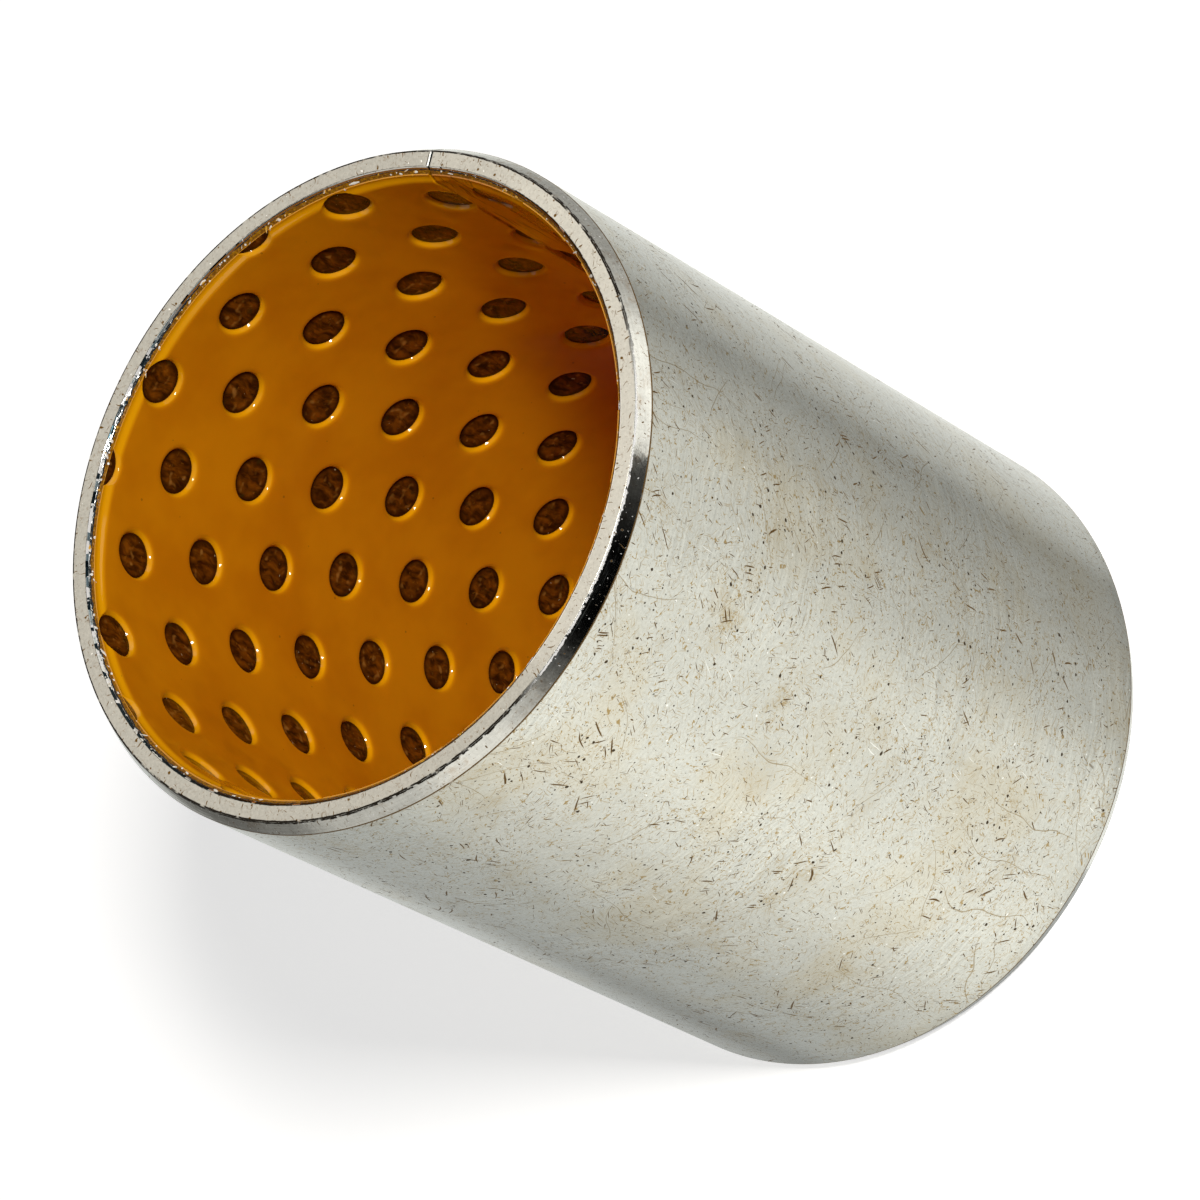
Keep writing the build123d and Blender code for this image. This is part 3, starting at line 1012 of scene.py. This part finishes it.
class BUSH_OT_bits(bpy.types.Operator):
    """Scatter the bright bits that cling to the bronze at both ends"""

    bl_idname = "bush.bits"
    bl_label = "Bright bits"

    def execute(self, context):
        strip = context.scene.bush_strip
        outer = strip.outside_radius - strip.steel_wall
        middle = outer - strip.bronze_wall / 2
        made = linked("edge_bits", bpy.data.meshes.new("edge_bits"))
        through_group(made, grain_group(), {
            "Radius": middle - 0.04 * MM, "Band": strip.bronze_wall * 1.2,
            "Height": strip.deburr_depth - strip.bronze_wall * 0.4,
            "Length": strip.length, "Least size": 0.025 * MM, "Greatest size": 0.12 * MM,
            "Gap angle": strip.butt_gap / middle, "Count": 300, "Seed": 7, "Finish": bright_finish()})
        placed(made, None)
        return {"FINISHED"}


def studio_world(facing):
    """White surroundings for the camera, an even sky for soft light, and a studio with dark gaps for
    reflections. Headings are degrees to the left or right of the facing direction."""
    world = bpy.data.worlds.new("studio")
    world.use_nodes = True
    tree = world.node_tree
    x, y, z = make(tree, "ShaderNodeTexCoord", {}, {}, output=0).parts()
    turn = math.radians(facing)
    heading = (y * math.cos(turn) - x * math.sin(turn)).angle_from(x * math.cos(turn) + y * math.sin(turn))
    heading = heading * math.degrees(1.0)
    below = z.ramp(-0.42, -0.58)
    above = z.ramp(0.12, 0.34)
    level = 1.0 - below.most(above)

    low = levels(heading, (
        (-175, 0.75), (-155, 0.64), (-137, 0.50), (-108, 0.57), (-80, 0.82), (-52, 1.08), (-36, 1.20),
        (5, 1.08)))
    short_gap = levels(heading, ((18, 0.0), (32, -0.12), (60, -0.18), (88, -0.50), (106, -0.70)))
    long_gap = levels(heading, ((18, 0.0), (60, -0.45), (88, -0.62), (106, -0.70)))
    low = low + short_gap + (long_gap - short_gap) * z.ramp(-0.725, -0.79)
    low = low + levels(heading, (
        (112.5, 0.0), (114, 0.12), (130, 0.27), (144, 0.38), (158, 0.48), (175, 0.75)))
    cool = heading.ramp(-70.0, -120.0).most(heading.ramp(85.0, 112.0) * 0.5)
    low = low - 0.22 * heading.ramp(-118.0, -145.0) * z.ramp(-0.745, -0.79)
    low_color = blend(cool, (1.0, 1.0, 0.925), (0.97, 1.0, 0.965))

    horizon = levels(heading, (
        (-125, 0.16), (-108, 0.25), (-92, 0.60), (-72, 0.65), (-54, 1.05), (-42, 1.0), (-30, 0.75),
        (42, 0.75), (47, 1.15), (72, 1.28), (92, 0.6), (105, 0.42)))
    panel = levels(heading, (
        (-42, 0.0), (-30, 0.15), (-18, 0.63), (-8, 0.75), (18, 0.75), (42, 0.69), (47, 0.0)))
    horizon = horizon - panel * z.ramp(-0.28, -0.14)

    hollow = abs(heading).ramp(100.0, 70.0)
    high = 1.14 - hollow * 0.94 - 0.45 * abs(heading + 110.0).ramp(50.0, 30.0)
    high = high.most(z.ramp(0.93, 0.97) * 1.3)
    high_color = blend(hollow * z.ramp(0.97, 0.93), (1.0, 0.96, 0.88), (0.6, 0.85, 1.0))

    strength = low * below + horizon * level + high * above
    color = blend(above, blend(below, (1.0, 0.985, 0.925), low_color), high_color)
    studio = make(tree, "ShaderNodeBackground", {}, {"Color": color, "Strength": strength})
    rays = make(tree, "ShaderNodeLightPath", {}, {}, whole=True)
    camera, glossy = Wire(rays.outputs["Is Camera Ray"]), Wire(rays.outputs["Is Glossy Ray"])
    plain = make(tree, "ShaderNodeBackground", {}, {
        "Color": (*WHITE, 1.0), "Strength": camera * (1.0 - SOFT_SKY) + SOFT_SKY})
    seen = make(tree, "ShaderNodeMixShader", {}, {0: glossy, 1: plain, 2: studio})
    tree.links.new(seen.socket, tree.nodes["World Output"].inputs["Surface"])
    bpy.context.scene.world = world


def soft_box(name, heading, elevation, distance, size, power, color=(1.0, 1.0, 1.0)):
    """Area lamp that looks at the middle of the bush."""
    lamp = bpy.data.lights.new(name, "AREA")
    lamp.shape = "RECTANGLE"
    lamp.size, lamp.size_y = size
    lamp.energy = power
    lamp.color = color
    made = linked(name, lamp)
    turn, lift = math.radians(heading), math.radians(elevation)
    middle = Vector((0, 0, 0.03))
    made.location = middle + distance * Vector((
        math.cos(turn) * math.cos(lift), math.sin(turn) * math.cos(lift), math.sin(lift)))
    made.rotation_euler = (made.location - middle).to_track_quat("Z", "Y").to_euler()


def studio_floor(color, hollow):
    """Wide pale floor, white to the camera, and the part of it inside the bush, which the lining reflects and
    which turns nearly black to glossy rays as painted shade.
    """
    material, shader = new_material("studio_floor")
    tree = material.node_tree
    tree.nodes.remove(shader)
    rays = make(tree, "ShaderNodeLightPath", {}, {}, whole=True)
    camera = Wire(rays.outputs["Is Camera Ray"])
    lit = make(tree, "ShaderNodeBsdfDiffuse", {}, {"Color": (*color, 1.0)})
    glow = make(tree, "ShaderNodeEmission", {}, {"Color": (*WHITE, 1.0), "Strength": camera * FLOOR_GLOW})
    both = make(tree, "ShaderNodeAddShader", {}, {0: lit, 1: glow})
    tree.links.new(both.socket, tree.nodes["Material Output"].inputs["Surface"])
    mesh = bmesh.new()
    bmesh.ops.create_grid(mesh, x_segments=1, y_segments=1, size=1.5)
    wide = finished_object("studio_floor", mesh, [material])
    wide.visible_glossy = False
    plain, shader = new_material("studio_floor_inside")
    rays = make(plain.node_tree, "ShaderNodeLightPath", {}, {}, whole=True)
    # painted shade: the inside disc turns nearly black for glossy rays, so the lining reflects darkness there
    shade = blend(Wire(rays.outputs["Is Glossy Ray"]) * 0.9, tuple(color), (0.0, 0.0, 0.0))
    feed(shader, Base_Color=shade, Roughness=0.8,
         Emission_Color=blend(Wire(rays.outputs["Is Camera Ray"]), (0.0, 0.0, 0.0), (0.90, 1.0, 1.0)),
         Emission_Strength=FLOOR_GLOW)
    mesh = bmesh.new()
    bmesh.ops.create_circle(mesh, cap_ends=True, segments=64, radius=hollow)
    bmesh.ops.translate(mesh, verts=mesh.verts, vec=(0.0, 0.0, 0.02 * MM))
    inside = finished_object("studio_floor_inside", mesh, [plain])


class BUSH_OT_stage(bpy.types.Operator):
    """Set the floor, the lamps, the surroundings and the camera"""

    bl_idname = "bush.stage"
    bl_label = "Studio"

    def execute(self, context):
        strip = context.scene.bush_strip
        studio_floor(context.scene.bush_finishes.floor, strip.outside_radius - strip.steel_wall)
        studio_world(FACING)
        soft_box("key", 277.5, 55.7, 0.6, (0.09, 0.09), 2.2, (1.0, 0.97, 0.92))
        camera = bpy.data.cameras.new("camera")
        camera.sensor_width = 36.0
        camera.lens = LENS
        camera.clip_start = 0.02
        made = linked("camera", camera)
        turned = Matrix((CAMERA_RIGHT, CAMERA_UP, CAMERA_RIGHT.cross(CAMERA_UP))).transposed().to_4x4()
        made.matrix_world = Matrix.Translation(CAMERA_PLACE * MM) @ turned
        context.scene.camera = made
        context.scene.view_settings.view_transform = "Standard"
        return {"FINISHED"}


class BUSH_PT_build(bpy.types.Panel):
    """Sizes, colours and the pieces of the bush"""

    bl_idname = "BUSH_PT_build"
    bl_label = "Lined wrapped bush"
    bl_space_type = "VIEW_3D"
    bl_region_type = "UI"
    bl_category = "Bush"

    def draw(self, context):
        for operator in OPERATORS:
            self.layout.operator(operator.bl_idname)
        for group in (context.scene.bush_strip, context.scene.bush_lining, context.scene.bush_finishes):
            column = self.layout.column(align=True)
            for name in group.__annotations__:
                column.prop(group, name)


GROUPS = {"bush_strip": BushStripSizes, "bush_lining": BushLiningSizes, "bush_finishes": BushFinishes}
OPERATORS = (BUSH_OT_steel, BUSH_OT_bronze, BUSH_OT_lining, BUSH_OT_bits, BUSH_OT_stage)


def register():
    for kind in (*GROUPS.values(), *OPERATORS, BUSH_PT_build):
        bpy.utils.register_class(kind)
    for name, kind in GROUPS.items():
        setattr(bpy.types.Scene, name, PointerProperty(type=kind))


def unregister():
    for name in GROUPS:
        delattr(bpy.types.Scene, name)
    for kind in reversed((*GROUPS.values(), *OPERATORS, BUSH_PT_build)):
        bpy.utils.unregister_class(kind)


def main():
    register()
    bpy.ops.bush.steel()
    bpy.ops.bush.bronze()
    bpy.ops.bush.lining()
    bpy.ops.bush.bits()
    bpy.ops.bush.stage()


if __name__ == "__main__":
    main()
